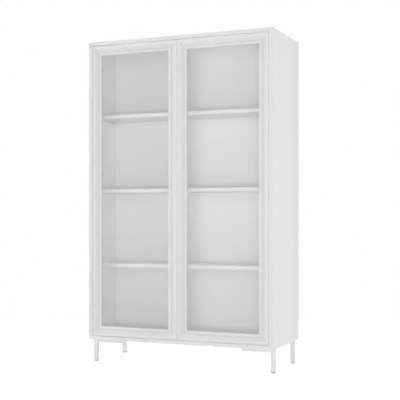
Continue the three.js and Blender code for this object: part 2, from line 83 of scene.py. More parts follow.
# Places that the boxes of the nodes don't give, in metres
SIDE_THICKNESS = 0.018
LEG_BRACKET_HEIGHT = 0.016
LEG_SCREW_MIDDLE = 0.078
LEG_SCREW_SPACING = 0.08
PLATE_THICKNESS = 0.003
PLATE_FROM_DOOR = 0.037
PLATE_SCREW_SPACING = 0.032
ARM_TOP = 0.0175
ADJUSTERS_FROM_DOOR = (0.028, 0.052)
EAR_SCREW_SPACING = 0.042
LATCH_FLANGE_LENGTH = 0.02
LATCH_FLANGE_THICKNESS = 0.002
LATCH_SCREW_SPACING = 0.025
CAM_FROM_END = 0.034
CLIP_FROM_END = 0.11
CLIPS_PER_SIDE = 5

# Seeds of the screws' turns, to which a pair adds its side
LEG_SEED = 5
PLATE_SEED = 11
ADJUSTER_SEED = 21
CUP_SEED = 31
LATCH_SEED = 41
COVER_SEED = 51

# Points round a turned surface, and its rings as shares of the radius
SCREW_SPOKES = 40
ROUND_SPOKES = 48
SCREW_RINGS = np.array([0.1, 0.18, 0.26, 0.34, 0.44, 0.52, 0.58, 0.64, 0.76, 0.9, 1.0])
COVER_RINGS = np.array([0.06, 0.14, 0.3, 0.5, 0.62, 0.7, 0.86, 0.95, 1.0])
CLIP_RINGS = np.array([0.15, 0.4, 0.6, 0.75, 0.86, 0.94, 0.985, 1.0])
INNER_RING = 0.3
RIM_RINGS = 5

# A screw, as shares of its head's radius, of its rise or of its shank's radius
SCREW_SLOTS = {"half_width": 0.17, "side_step": 0.06, "reach": 0.6, "end_step": 0.08}
DOME_FALL = 0.5
SLOT_DEPTH = 0.62
SLOT_FALL = 0.4
HEAD_EDGE = 0.18
HEAD_UNDERSIDE = 0.96
SHANK_TIP = 0.8

# A cam cover, as shares of its radius or of its rise
COVER_GROOVE = {"half_width": 0.1, "side_step": 0.05, "reach": 0.66, "end_step": 0.05}
COVER_RIM_START = 0.88
COVER_RIM_FALL = 0.7
GROOVE_DEPTH = 0.5

# A clip's powers: of its plan, of the share in its height, and of its whole height
PLAN_POWER = 4
CROWN_POWER = 6
SHOULDER_POWER = 0.4

# An axis counts as upright from this z, up or down
UPRIGHT = 0.9

# Sockets of a Mix node that mixes colours
MIX_FIRST = 6
MIX_SECOND = 7
MIX_RESULT = 2

# Scales of the shared effects where a finish gives none, in cells a metre
RELIEF_SCALE = 600.0
CLOUD_SCALE = 8.0
GRAIN_SCALE = 2500.0

# The range of a fine noise where its lines and fibres lie
LINES_START = 0.35
LINES_END = 0.65

# Painted shade in the hollows of a frame's moulding, in metres from the door's outline: start,
# full, fading, end, share
FRAME_HOLLOW_SHADE = ((0.012, 0.017, 0.02, 0.024, 0.35), (0.022, 0.027, 0.033, 0.037, 0.6))
# How far behind a frame's front face the painted hollow shade counts, in metres: in full, and at
# all
FRONT_REACH = (0.008, 0.009)

LIGHT_BOUNCES = 12
FLOOR_REACH = 60.0
FLOOR_NEAR = 1.0
FLOOR_FAR = 2.2

# Each lamp's place, and its width and height, in metres
LAMPS = {
    "key": ((-5.0, -1.9, 0.4), (3.0, 3.0)),
    "front": ((1.2, -5.6, 0.6), (3.4, 3.4)),
    "fill": ((4.4, -3.2, 0.3), (3.0, 3.0)),
    "low": ((1.8, -5.0, 0.3), (2.4, 0.5)),
    "side": ((7.6, 4.6, 1.2), (4.5, 4.5)),
    "top": ((0.0, -0.6, 4.6), (3.0, 3.0)),
    "back": ((-2.6, 4.4, 1.2), (3.0, 3.0)),
}


# Sizes and colours that a user would change


def colour(label, text, value):
    """A colour property."""
    return bpy.props.FloatVectorProperty(
        name=label, description=text, default=value, size=3, min=0, max=1, subtype="COLOR"
    )


def length(label, text, value):
    """A length property, in metres."""
    return bpy.props.FloatProperty(
        name=label, description=text, default=value, min=0, precision=5, subtype="DISTANCE",
        unit="LENGTH",
    )


def share(label, text, value, most=1.0):
    """A plain number property from nought to its most."""
    return bpy.props.FloatProperty(
        name=label, description=text, default=value, min=0, max=most, subtype="FACTOR"
    )


def power(label, text, value):
    """A lamp's power property, in watts."""
    return bpy.props.FloatProperty(
        name=label, description=text, default=value, min=0, subtype="POWER", unit="POWER"
    )


class BookcaseColours(bpy.types.PropertyGroup):
    """Colours and gloss of the finishes."""

    board: colour("Boards", "Satin white of the boards and shelves", (0.9, 0.9, 0.898))
    door_frame: colour("Door frames", "Satin white of the moulded frames", (0.9, 0.9, 0.898))
    back: colour("Back", "Matt white of the thin back panel", (0.93, 0.928, 0.929))
    glass: colour("Glass", "Tint of the clear panes", (0.996, 0.9965, 0.9965))
    strip: colour("Glazing strips", "Off-white plastic behind the panes", (0.85, 0.85, 0.84))
    legs: colour("Legs", "White powder coat of the steel legs", (0.9, 0.9, 0.898))
    nickel: colour("Nickel", "Nickel plate of the hinges, pins and discs", (0.78, 0.765, 0.74))
    zinc: colour("Zinc", "Bright zinc of the screws", (0.66, 0.68, 0.71))
    glide: colour("Glides", "Pale grey plastic under the legs", (0.57, 0.58, 0.58))
    latch: colour("Latches", "Off-white plastic of the latch housings", (0.7, 0.7, 0.69))
    plunger: colour("Plungers", "Grey plastic of the latch plungers", (0.25, 0.26, 0.27))
    board_gloss: share("Board roughness", "How dull the satin boards are", 0.42)
    frame_gloss: share("Frame roughness", "How dull the lacquered frames are", 0.36)


class BookcaseSizes(bpy.types.PropertyGroup):
    """Sizes of the softened edges and of the small fixings."""

    board_edge: length("Board edges", "Softening of the boards' edges", 0.0005)
    frame_edge: length("Frame edges", "Softening of the door frames' edges", 0.0003)
    screw_head: length("Wood screw head", "Radius of a small screw's head", 0.0036)
    screw_rise: length("Wood screw rise", "Height of a small screw's head", 0.0014)
    screw_shank: length("Wood screw shank", "Radius of a small screw's shank", 0.0019)
    screw_depth: length("Wood screw depth", "Length of a small screw's shank", 0.006)
    bolt_head: length("Leg screw head", "Radius of a leg screw's head", 0.0048)
    bolt_rise: length("Leg screw rise", "Height of a leg screw's head", 0.0024)
    bolt_shank: length("Leg screw shank", "Radius of a leg screw's shank", 0.0023)
    bolt_depth: length("Leg screw depth", "Length of a leg screw's shank", 0.0175)
    strike_radius: length("Strike disc radius", "Radius of the steel disc on a door", 0.0046)
    strike_rise: length("Strike disc thickness", "Thickness of the steel disc", 0.0007)
    cover_radius: length("Cover radius", "Radius of a cam cover under the fixed shelf", 0.0085)
    cover_rise: length("Cover thickness", "How far a cam cover stands proud", 0.0006)
    clip_length: length("Clip length", "Length of a clip that holds the back panel", 0.022)
    clip_width: length("Clip width", "Width of a clip that holds the back panel", 0.01)
    clip_rise: length("Clip height", "Height of a clip that holds the back panel", 0.007)


class BookcaseStudio(bpy.types.PropertyGroup):
    """The camera, the lamps and the floor."""

    camera_place: bpy.props.FloatVectorProperty(
        name="Camera", description="Where the camera stands", default=(1.692, -3.939, 0.688),
        subtype="TRANSLATION", unit="LENGTH",
    )
    camera_turn: bpy.props.FloatProperty(
        name="Turn", description="How far the camera turns to its left",
        default=math.radians(22.85), subtype="ANGLE", unit="ROTATION",
    )
    lens: bpy.props.FloatProperty(
        name="Lens", description="Focal length in millimetres", default=81.0, min=1,
        subtype="DISTANCE_CAMERA",
    )
    rise: bpy.props.FloatProperty(
        name="Rise", description="Upward shift of the picture", default=0.04375
    )
    ambient: share("Ambient", "Even light from all round", 0.25, 2.0)
    key_power: power("Key", "Power of the lamp at the front left", 143.0)
    front_power: power("Front", "Power of the lamp beside the camera", 60.0)
    fill_power: power("Fill", "Power of the lamp at the front right", 58.0)
    low_power: power("Low", "Power of the wide low lamp in front", 37.0)
    side_power: power("Side", "Power of the lamp behind the right side", 338.0)
    top_power: power("Top", "Power of the lamp above", 45.0)
    back_power: power("Back", "Power of the lamp behind the left side", 116.0)
    floor: colour("Floor", "Pale floor", (0.88, 0.88, 0.88))
    floor_lift: share("Floor lift", "How far the camera sees the floor lifted towards white", 0.55)


# Surfaces, worked out as whole arrays


def grid_faces(rows, spokes):
    """Quads of a grid of rings: corner (i, j) joins (i + 1, j), (i + 1, j + 1) and (i, j + 1), with
    j running round."""
    i, j = np.meshgrid(np.arange(rows - 1), np.arange(spokes), indexing="ij")
    after = (j + 1) % spokes
    here, below = i * spokes, (i + 1) * spokes
    corners = np.stack([below + j, below + after, here + after, here + j], -1)
    return corners.reshape(-1, 4)


def turned(radii, heights, spokes):
    """A closed surface round z. Ring i has radius r_i, and its point at angle a is
    (r cos a, r sin a, h_i(a)), for spokes even angles. A point on the axis closes each end with a
    fan. The rings run from the top down."""
    angles = np.linspace(0, 2 * np.pi, spokes, endpoint=False)
    radii = np.asarray(radii, float)
    heights = np.broadcast_to(np.asarray(heights, float).T, (spokes, len(radii))).T
    x, y = radii[:, None] * np.cos(angles), radii[:, None] * np.sin(angles)
    rings = np.stack([x, y, heights], -1)
    poles = np.array([[0, 0, heights[0].mean()], [0, 0, heights[-1].mean()]])
    points = np.concatenate([rings.reshape(-1, 3), poles])
    j = np.arange(spokes)
    after = (j + 1) % spokes
    last = (len(radii) - 1) * spokes
    top = np.stack([j, after, np.full(spokes, len(points) - 2)], -1)
    bottom = np.stack([last + after, last + j, np.full(spokes, len(points) - 1)], -1)
    return points, grid_faces(len(radii), spokes), np.concatenate([top, bottom])


def soft_step(x):
    """3 t^2 - 2 t^3, where t is x held between nought and one."""
    t = np.clip(x, 0, 1)
    return t * t * (3 - 2 * t)


def crossed_slots(rings, spokes, half_width, side_step, reach, end_step):
    """The mask of two crossed slots on a round face whose rings are shares of its radius. It is one
    where a point lies within the half width of either slot's line and within the reach, and nought
    outside them, with soft steps between. The step over a slot's side has its middle there."""
    angles = np.linspace(0, 2 * np.pi, spokes, endpoint=False)
    across = rings[:, None] * np.minimum(np.abs(np.sin(angles)), np.abs(np.cos(angles)))
    inside = soft_step((half_width - across) / side_step + 0.5)
    return inside * soft_step((reach - rings[:, None]) / end_step)


def screw(head, rise, shank, depth):
    """A screw along z with the underside of its head at z = 0. The head is a dome that is
    rise (1 - 0.5 s^2) high at a share s of its radius, and two crossed slots are sunk in it by
    0.62 rise (1 - 0.4 s)."""
    dome = rise * (1 - DOME_FALL * SCREW_RINGS**2)
    sunk = SLOT_DEPTH * rise * (1 - SLOT_FALL * SCREW_RINGS)
    slots = crossed_slots(SCREW_RINGS, SCREW_SPOKES, **SCREW_SLOTS)
    top = dome[:, None] - sunk[:, None] * slots
    lower = np.outer([HEAD_EDGE * rise, 0, 0, -depth], np.ones(SCREW_SPOKES))
    lower_radii = [head, head * HEAD_UNDERSIDE, shank, shank * SHANK_TIP]
    radii = np.concatenate([SCREW_RINGS * head, lower_radii])
    return turned(radii, np.concatenate([top, lower]), SCREW_SPOKES)


def disc(radius, rise):
    """A flat disc on z = 0 whose rim is a quarter of an ellipse: its radius is the disc's less
    w (1 - sin t) and its height rise cos t, with w twice the rise and t from nought to a right
    angle."""
    t = np.linspace(0, np.pi / 2, RIM_RINGS)
    inner = [radius * INNER_RING]
    radii = np.concatenate([inner, radius - 2 * rise * (1 - np.sin(t)), inner])
    return turned(radii, np.concatenate([[rise], rise * np.cos(t), [0]]), ROUND_SPOKES)


def cam_cover(radius, rise):
    """A cover on z = 0 with two crossed grooves. At a share s of its radius it is rise (1 - 0.7 t)
    high, where t goes softly from nought at s = 0.88 to one at its edge. The grooves take half the
    rise off that."""
    rim = soft_step((COVER_RINGS - COVER_RIM_START) / (1 - COVER_RIM_START))
    groove = crossed_slots(COVER_RINGS, ROUND_SPOKES, **COVER_GROOVE)
    top = rise * (1 - rim * COVER_RIM_FALL)[:, None] - GROOVE_DEPTH * rise * groove
    base = np.zeros((2, ROUND_SPOKES))
    radii = np.concatenate([COVER_RINGS * radius, [radius, radius * INNER_RING]])
    return turned(radii, np.concatenate([top, base]), ROUND_SPOKES)


def clip(wide, long, rise):
    """A pillow-shaped clip on z = 0. Its plan is a superellipse, |x|^4 + |y|^4 = s^4, scaled to its
    width along x and its length along y, and over the ring of share s it is rise (1 - s^6)^0.4
    high."""
    angles = np.linspace(0, 2 * np.pi, ROUND_SPOKES, endpoint=False)
    powers = np.abs(np.cos(angles)) ** PLAN_POWER + np.abs(np.sin(angles)) ** PLAN_POWER
    heights = rise * (1 - CLIP_RINGS**CROWN_POWER) ** SHOULDER_POWER
    radii = np.concatenate([CLIP_RINGS, [INNER_RING]])
    points, quads, tris = turned(radii, np.concatenate([heights, [0]]), ROUND_SPOKES)
    plan = np.tile(powers ** (-1 / PLAN_POWER), len(radii))
    points[: len(plan), :2] *= plan[:, None]
    points[:, :2] *= (wide / 2, long / 2)
    return points, quads, tris


def copies(shape, places, axis, turns=0.0):
    """The shape once at each place, its z turned to the axis and itself turned about it: every
    point p goes to place + p R, where R's rows are the turned x, the turned y and the axis."""
    points, *faces = shape
    places = np.atleast_2d(np.asarray(places, float))
    z = np.asarray(axis, float) / np.linalg.norm(axis)
    x = np.cross([0, 0, 1] if abs(z[2]) < UPRIGHT else [0, 1, 0], z)
    x /= np.linalg.norm(x)
    y = np.cross(z, x)
    a = np.broadcast_to(turns, len(places))[:, None]
    along = np.broadcast_to(z, (len(places), 3))
    basis = np.stack([np.cos(a) * x + np.sin(a) * y, np.cos(a) * y - np.sin(a) * x, along], 1)
    placed = np.einsum("pk,nkx->npx", points, basis) + places[:, None]
    steps = len(points) * np.arange(len(places))[:, None, None]
    return placed.reshape(-1, 3), *[(f[None] + steps).reshape(-1, f.shape[1]) for f in faces]


def added(name, data):
    """A new object in the scene."""
    made = bpy.data.objects.new(name, data)
    bpy.context.scene.collection.objects.link(made)
    return made


def piece(name, shapes, material, body):
    """Makes one mesh of the shapes, with its material, and lets it ride on its body."""
    points, faces, first = [], [], 0
    for shape in shapes:
        points.append(shape[0])
        faces += [corners for f in shape[1:] for corners in (f + first).tolist()]
        first += len(shape[0])
    mesh = bpy.data.meshes.new(name)
    mesh.from_pydata(np.concatenate(points).tolist(), [], faces)
    mesh.validate()
    mesh.materials.append(material)
    made = added(name, mesh)
    soften(made)
    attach(made, body)


# Edges and shading


def shading_group():
    """Geometry nodes that drop the loaded shading and shade smooth, except over edges sharper than
    Angle."""
    name = "Smooth up to an angle"
    if name in bpy.data.node_groups:
        return bpy.data.node_groups[name]
    tree = bpy.data.node_groups.new(name, "GeometryNodeTree")
    kind = "NodeSocketGeometry"
    tree.interface.new_socket("Geometry", in_out="INPUT", socket_type=kind)
    limit = tree.interface.new_socket("Angle", in_out="INPUT", socket_type="NodeSocketFloat")
    limit.default_value = SMOOTH_ANGLE
    tree.interface.new_socket("Geometry", in_out="OUTPUT", socket_type=kind)
    given = node(tree, "NodeGroupInput").outputs
    plain = node(
        tree, "GeometryNodeRemoveAttribute",
        {"Geometry": given["Geometry"], "Name": "custom_normal"},
    )
    smooth = node(
        tree, "GeometryNodeSetShadeSmooth", {"Geometry": plain.outputs[0], "Shade Smooth": True}
    )
    angle = node(tree, "GeometryNodeInputMeshEdgeAngle").outputs["Unsigned Angle"]
    sharp = node(
        tree, "FunctionNodeCompare", {0: angle, 1: given["Angle"]}, operation="GREATER_THAN"
    )
    creased = node(
        tree, "GeometryNodeSetShadeSmooth",
        {"Geometry": smooth.outputs[0], "Selection": sharp.outputs[0], "Shade Smooth": False},
        domain="EDGE",
    )
    node(tree, "NodeGroupOutput", {"Geometry": creased.outputs[0]})
    return tree


def soften(made, width=0):
    """Joins loose triangles, rounds the sharp edges by width, and shades curved faces smooth."""
    weld = made.modifiers.new("Joined faces", "WELD")
    weld.merge_threshold = MERGE_DISTANCE
    if width:
        flat = made.modifiers.new("Flat faces", "DECIMATE")
        flat.decimate_type = "DISSOLVE"
        flat.angle_limit = DISSOLVE_ANGLE
        edge = made.modifiers.new("Soft edges", "BEVEL")
        edge.width = width
        edge.segments = BEVEL_SEGMENTS
        edge.limit_method = "ANGLE"
        edge.angle_limit = BEVEL_ANGLE
    shading = made.modifiers.new("Smooth shading", "NODES")
    shading.node_group = shading_group()


# Nodes of the materials


def node(tree, kind, inputs=None, **settings):
    """Adds a node, and fills its sockets, by name or number, with values or links."""
    made = tree.nodes.new(kind)
    for key, value in settings.items():
        setattr(made, key, value)
    for key, value in (inputs or {}).items():
        if isinstance(value, bpy.types.NodeSocket):
            tree.links.new(value, made.inputs[key])
        else:
            made.inputs[key].default_value = value
    return made


def maths(tree, operation, *values):
    """The result of a Math node."""
    return node(tree, "ShaderNodeMath", dict(enumerate(values)), operation=operation).outputs[0]


def vector_maths(tree, operation, *values):
    """The vector that a Vector Math node gives."""
    sockets = dict(enumerate(values))
    return node(tree, "ShaderNodeVectorMath", sockets, operation=operation).outputs[0]


def split(tree, vector):
    """The x, y and z of a vector."""
    return node(tree, "ShaderNodeSeparateXYZ", {0: vector}).outputs


def noise(tree, **sockets):
    """The value of a noise."""
    return node(tree, "ShaderNodeTexNoise", sockets).outputs[0]


def between(tree, value, low, high, start=0.0, end=1.0, kind="SMOOTHSTEP"):
    """Maps a value from the range start to end onto the range low to high."""
    sockets = {"Value": value, "From Min": start, "From Max": end, "To Min": low, "To Max": high}
    return node(tree, "ShaderNodeMapRange", sockets, interpolation_type=kind).outputs[0]


def blended(tree, factor, first, second):
    """A mix of two colours."""
    sockets = {0: factor, MIX_FIRST: first, MIX_SECOND: second}
    return node(tree, "ShaderNodeMix", sockets, data_type="RGBA").outputs[MIX_RESULT]


def opaque(rgb, by=1.0):
    """A colour times a share, with its alpha."""
    return (*[c * by for c in rgb], 1.0)


def on_seen_rays(tree):
    """One on rays from the camera and in gloss and glass, and nought on the rest."""
    path = node(tree, "ShaderNodeLightPath").outputs
    seen = maths(tree, "MAXIMUM", path["Is Camera Ray"], path["Is Glossy Ray"])
    return maths(tree, "MAXIMUM", seen, path["Is Transmission Ray"])


def fresh_tree(owner):
    """The emptied node tree of a material or a world."""
    owner.use_nodes = True
    owner.node_tree.nodes.clear()
    return owner.node_tree


def effect_group(name, inputs, outputs, build):
    """A shader node group with named inputs and outputs, built once."""
    if name in bpy.data.node_groups:
        return bpy.data.node_groups[name]
    tree = bpy.data.node_groups.new(name, "ShaderNodeTree")
    for label, kind, value in inputs:
        socket = tree.interface.new_socket(label, in_out="INPUT", socket_type=f"NodeSocket{kind}")
        socket.default_value = value
    for label, kind in outputs:
        tree.interface.new_socket(label, in_out="OUTPUT", socket_type=f"NodeSocket{kind}")
    build(tree, node(tree, "NodeGroupInput").outputs)
    return tree


def build_edge_wear(tree, given):
    """The middle one of a point's three distances to a box's faces is small only near an edge."""
    place = vector_maths(tree, "ABSOLUTE", given["Position"])
    gaps = split(tree, vector_maths(tree, "SUBTRACT", given["Half Size"], place))
    less = maths(tree, "MINIMUM", gaps[0], gaps[1])
    more = maths(tree, "MAXIMUM", gaps[0], gaps[1])
    nearness = maths(tree, "MAXIMUM", less, maths(tree, "MINIMUM", more, gaps[2]))
    patches = noise(tree, Vector=given["Position"], Scale=45.0, Detail=4.0, Roughness=0.65)
    spread = between(tree, patches, low=0.2, high=1.6, start=0.35, end=0.7)
    reach = maths(tree, "MULTIPLY", given["Reach"], spread)
    node(tree, "NodeGroupOutput", {"Mask": between(tree, nearness, low=1.0, high=0.0, end=reach)})


def build_fine_relief(tree, given):
    """Fine noise for the surface's relief, and a broad cloud for its tone and gloss."""
    place = vector_maths(tree, "MULTIPLY", given["Position"], given["Stretch"])
    fine = noise(tree, Vector=place, Scale=given["Scale"], Detail=4.0, Roughness=0.55)
    broad = noise(tree, Vector=given["Position"], Scale=given["Cloud Scale"], Detail=5.0)
    cloud = between(tree, broad, low=0.0, high=1.0, start=0.3, end=0.7)
    node(tree, "NodeGroupOutput", {"Height": fine, "Cloud": cloud})


def build_moulded_grain(tree, given):
    """Small rounded cells, as a spark-eroded mould leaves them on plastic."""
    sockets = {"Vector": given["Position"], "Scale": given["Scale"]}
    cells = node(tree, "ShaderNodeTexVoronoi", sockets, feature="SMOOTH_F1").outputs["Distance"]
    node(tree, "NodeGroupOutput", {"Height": between(tree, cells, low=1.0, high=0.0, end=0.6)})


def edge_wear_group():
    """The wear along the edges of a box-shaped piece."""
    inputs = [
        ("Position", "Vector", (0, 0, 0)), ("Half Size", "Vector", (0.1, 0.1, 0.1)),
        ("Reach", "Float", 0.001),
    ]
    return effect_group("Edge wear", inputs, [("Mask", "Float")], build_edge_wear)


def fine_relief_group():
    """The fine relief and broad cloudiness of a coated or pressed surface."""
    inputs = [
        ("Position", "Vector", (0, 0, 0)), ("Stretch", "Vector", (1, 1, 1)),
        ("Scale", "Float", RELIEF_SCALE), ("Cloud Scale", "Float", CLOUD_SCALE),
    ]
    outputs = [("Height", "Float"), ("Cloud", "Float")]
    return effect_group("Fine relief", inputs, outputs, build_fine_relief)


def moulded_grain_group():
    """The grain of moulded plastic."""
    inputs = [("Position", "Vector", (0, 0, 0)), ("Scale", "Float", GRAIN_SCALE)]
    return effect_group("Moulded grain", inputs, [("Height", "Float")], build_moulded_grain)


# Materials. A wear's reach and a bump's distance are in metres, and scales are in cells a metre.


class Finish:
    """A material under way: its tree, its centred position, and its relief and cloud."""

    def __init__(self, name, box, scale, cloud_scale=CLOUD_SCALE, stretch=(1, 1, 1)):
        self.material = bpy.data.materials.new(name)
        self.tree = fresh_tree(self.material)
        middle, self.half = (box[0] + box[1]) / 2, (box[1] - box[0]) / 2
        place = node(self.tree, "ShaderNodeTexCoord").outputs["Object"]
        centred = {"Vector": place, "Location": -middle}
        self.position = node(self.tree, "ShaderNodeMapping", centred).outputs[0]
        relief = self.group(
            fine_relief_group(), {"Stretch": stretch, "Scale": scale, "Cloud Scale": cloud_scale}
        )
        self.height, self.cloud = relief["Height"], relief["Cloud"]

    def group(self, shared, inputs):
        """The outputs of a shared group at this material's position."""
        inputs = {"Position": self.position, **inputs}
        return node(self.tree, "ShaderNodeGroup", inputs, node_tree=shared).outputs

    def wear(self, reach):
        """The mask of edges rubbed so many metres wide."""
        return self.group(edge_wear_group(), {"Half Size": self.half, "Reach": reach})["Mask"]

    def lines(self):
        """The relief's fine lines or fibres, from nought to one."""
        return between(self.tree, self.height, 0.0, 1.0, start=LINES_START, end=LINES_END)

    def clouded(self, rgb, darkest):
        """The colour, down to its darkest share under the clouds."""
        return blended(self.tree, self.cloud, opaque(rgb, darkest), opaque(rgb))

    def scaled(self, mask, by):
        """A mask times a number."""
        return maths(self.tree, "MULTIPLY", mask, by)

    def tinted(self, tone, mask, rgb, by):
        """A tone that goes to so many times the colour where the mask is one."""
        return blended(self.tree, mask, tone, opaque(rgb, by))

    def dulled(self, middle, less, more):
        """A roughness that goes with the clouds from less than its middle to more."""
        return between(self.tree, self.cloud, low=middle - less, high=middle + more)

    def moved(self, value, mask, by):
        """A value that moves by so much where the mask is one."""
        return maths(self.tree, "ADD", value, self.scaled(mask, by))

    def bump(self, height, distance):
        """The normal of a relief so many metres high."""
        sockets = {"Height": height, "Distance": distance, "Strength": 1.0}
        return node(self.tree, "ShaderNodeBump", sockets).outputs[0]

    def principled(self, **sockets):
        """A Principled shader, its sockets named with _ for each space."""
        sockets = {key.replace("_", " "): value for key, value in sockets.items()}
        return node(self.tree, "ShaderNodeBsdfPrincipled", sockets).outputs[0]

    def ended(self, shader):
        """The material, ended with the shader."""
        node(self.tree, "ShaderNodeOutputMaterial", {"Surface": shader})
        return self.material


def lacquered(name, box, rgb, roughness):
    """Satin white lacquer or foil: a fine orange peel, a faint cloudiness, and edges rubbed a
    little brighter."""
    made = Finish(name, box, scale=450.0, cloud_scale=5.0)
    worn = made.wear(reach=0.0022)
    tone = made.tinted(made.clouded(rgb, darkest=0.985), worn, rgb, by=1.03)
    gloss = made.dulled(roughness, less=0.04, more=0.04)
    return made.ended(made.principled(
        Base_Color=tone, Roughness=made.moved(gloss, worn, by=-0.06), Specular_IOR_Level=0.45,
        Normal=made.bump(made.height, distance=2.5e-5),
    ))


def hollows(made):
    """The mask of the painted shade in the hollows of a moulded frame: a point's distance from the
    frame's outline is the less of its distances across and up, and the mask counts only near the
    front face."""
    place = vector_maths(made.tree, "ABSOLUTE", made.position)
    inwards = split(made.tree, vector_maths(made.tree, "SUBTRACT", made.half, place))
    from_edge = maths(made.tree, "MINIMUM", inwards[0], inwards[2])
    behind = split(made.tree, made.position)[1]
    counted, passed = (reach - made.half.y for reach in FRONT_REACH)
    front = between(made.tree, behind, low=1.0, high=0.0, start=counted, end=passed)
    mask = 0.0
    for start, full, fading, end, strength in FRAME_HOLLOW_SHADE:
        rising = between(made.tree, from_edge, low=0.0, high=strength, start=start, end=full)
        falling = between(made.tree, from_edge, low=1.0, high=0.0, start=fading, end=end)
        mask = maths(made.tree, "ADD", mask, maths(made.tree, "MULTIPLY", rising, falling))
    return maths(made.tree, "MULTIPLY", mask, front)


def frame_lacquer(name, box, rgb, roughness):
    """The lacquer of the moulded frames, with painted shade where the hollows of the moulding lie:
    there the colour goes darker and the gloss duller. The box is the whole door's."""
    made = Finish(name, box, scale=380.0, cloud_scale=5.0)
    sunk = hollows(made)
    # Painted shade: in the hollows the colour goes towards 0.8 of itself
    tone = made.tinted(made.clouded(rgb, darkest=0.985), sunk, rgb, by=0.8)
    gloss = made.dulled(roughness, less=0.04, more=0.04)
    return made.ended(made.principled(
        Base_Color=tone, Roughness=made.moved(gloss, sunk, by=0.2), Specular_IOR_Level=0.45,
        Normal=made.bump(made.height, distance=2e-5),
    ))


def fibreboard(name, box, rgb):
    """Painted fibreboard: short pressed fibres under matt paint, and a clouded tone."""
    made = Finish(name, box, scale=900.0, cloud_scale=4.0, stretch=(1.0, 1.0, 0.35))
    fibres = made.scaled(made.lines(), by=0.25)
    return made.ended(made.principled(
        Base_Color=made.tinted(made.clouded(rgb, darkest=0.98), fibres, rgb, by=0.96),
        Roughness=between(made.tree, made.cloud, low=0.55, high=0.66), Specular_IOR_Level=0.35,
        Normal=made.bump(made.height, distance=4e-5),
    ))


def powder_coat(name, box, rgb):
    """Powder coat on steel: a tight pebbled skin that thins and shines on the corners."""
    made = Finish(name, box, scale=1400.0, cloud_scale=22.0)
    pits = between(made.tree, made.height, low=1.0, high=0.0, start=0.3, end=0.5)
    tone = made.clouded(rgb, darkest=0.975)
    tone = made.tinted(tone, made.scaled(pits, by=0.3), rgb, by=0.93)
    gloss = between(made.tree, made.cloud, low=0.4, high=0.5)
    return made.ended(made.principled(
        Base_Color=tone, Roughness=made.moved(gloss, made.wear(reach=0.0016), by=-0.1),
        Normal=made.bump(made.height, distance=6e-5),
    ))


def plated(name, box, rgb, stretch=(1, 1, 1)):
    """Plated steel: drawn lines along the pressing, clouded gloss, and edges polished by
    handling."""
    made = Finish(name, box, scale=1500.0, cloud_scale=60.0, stretch=stretch)
    lines = made.lines()
    tone = blended(made.tree, lines, opaque(rgb, by=0.86), opaque(rgb))
    gloss = between(made.tree, lines, low=0.24, high=0.34)
    return made.ended(made.principled(
        Base_Color=made.tinted(tone, made.wear(reach=0.0012), rgb, by=1.2),
        Roughness=made.moved(gloss, made.cloud, by=0.08), Metallic=1.0,
        Normal=made.bump(made.height, distance=1.5e-5),
    ))


def moulded(name, box, rgb, roughness):
    """Moulded plastic: an eroded mould's grain, clouded tone and corners rubbed smooth and pale."""
    made = Finish(name, box, scale=300.0, cloud_scale=70.0)
    grain = made.group(moulded_grain_group(), {"Scale": GRAIN_SCALE})["Height"]
    worn = made.wear(reach=0.0012)
    tone = made.clouded(rgb, darkest=0.94)
    tone = made.tinted(tone, made.scaled(worn, by=0.5), rgb, by=1.2)
    gloss = made.dulled(roughness, less=0.05, more=0.06)
    return made.ended(made.principled(
        Base_Color=tone, Roughness=made.moved(gloss, worn, by=-0.12),
        Normal=made.bump(grain, distance=3e-5),
    ))


def extruded(name, box, rgb):
    """An extruded plastic strip: faint die lines along its length over a soft sheen."""
    made = Finish(name, box, scale=700.0, cloud_scale=12.0, stretch=(1.0, 1.0, 0.02))
    return made.ended(made.principled(
        Base_Color=blended(made.tree, made.lines(), opaque(rgb, by=0.95), opaque(rgb)),
        Roughness=between(made.tree, made.cloud, low=0.34, high=0.44),
        Normal=made.bump(made.height, distance=2e-5),
    ))


def float_glass(name, box, rgb):
    """Clear float glass: a very slight waviness in its reflections. Lamps and diffuse light pass
    straight through, so that the shelves behind it are lit."""
    made = Finish(name, box, scale=3.0)
    glass = made.principled(
        Base_Color=opaque(rgb), Roughness=0.0, IOR=1.58, Transmission_Weight=1.0,
        Normal=made.bump(made.height, distance=0.0004),
    )
    path = node(made.tree, "ShaderNodeLightPath").outputs
    passing = maths(made.tree, "MAXIMUM", path["Is Shadow Ray"], path["Is Diffuse Ray"])
    through = node(made.tree, "ShaderNodeBsdfTransparent", {"Color": opaque(rgb)}).outputs[0]
    mixed = node(made.tree, "ShaderNodeMixShader", {0: passing, 1: glass, 2: through})
    return made.ended(mixed.outputs[0])


# The nodes of the frame


def nodes_of(slot):
    """The nodes that the record finishes with this material slot."""
    rows = frame["record"]["subparts"]
    return [row["node"] for row in rows if row["material_slot"] == slot]


def dress(names, width, finish, rgb, box=None, **values):
    """Gives each of the nodes its softened edges and its own copy of the finish, centred on the
    box, or else on the node."""
    for name in names:
        made = frame["nodes"][name]
        material = finish(f"{finish.__name__} {name}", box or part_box(name), rgb, **values)
        made.data.materials.clear()
        made.data.materials.append(material)
        soften(made, width)


def middle_of(name):
    """The middle of a node's box."""
    low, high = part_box(name)
    return (low + high) / 2


def box_round(names):
    """The box round several nodes."""
    lows, highs = zip(*[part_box(name) for name in names])
    return Vector(map(min, *lows)), Vector(map(max, *highs))


def pair(middle, spacing):
    """The two values that lie a spacing apart about a middle, the lower one first."""
    return middle - spacing / 2, middle + spacing / 2


def scattered(count, seed):
    """Turns of so many screws, the same each run."""
    return np.random.default_rng(seed).uniform(0, np.pi, count)


def small_screw(sizes):
    """The screw of the hinges and latches."""
    return screw(sizes.screw_head, sizes.screw_rise, sizes.screw_shank, sizes.screw_depth)


# Operators


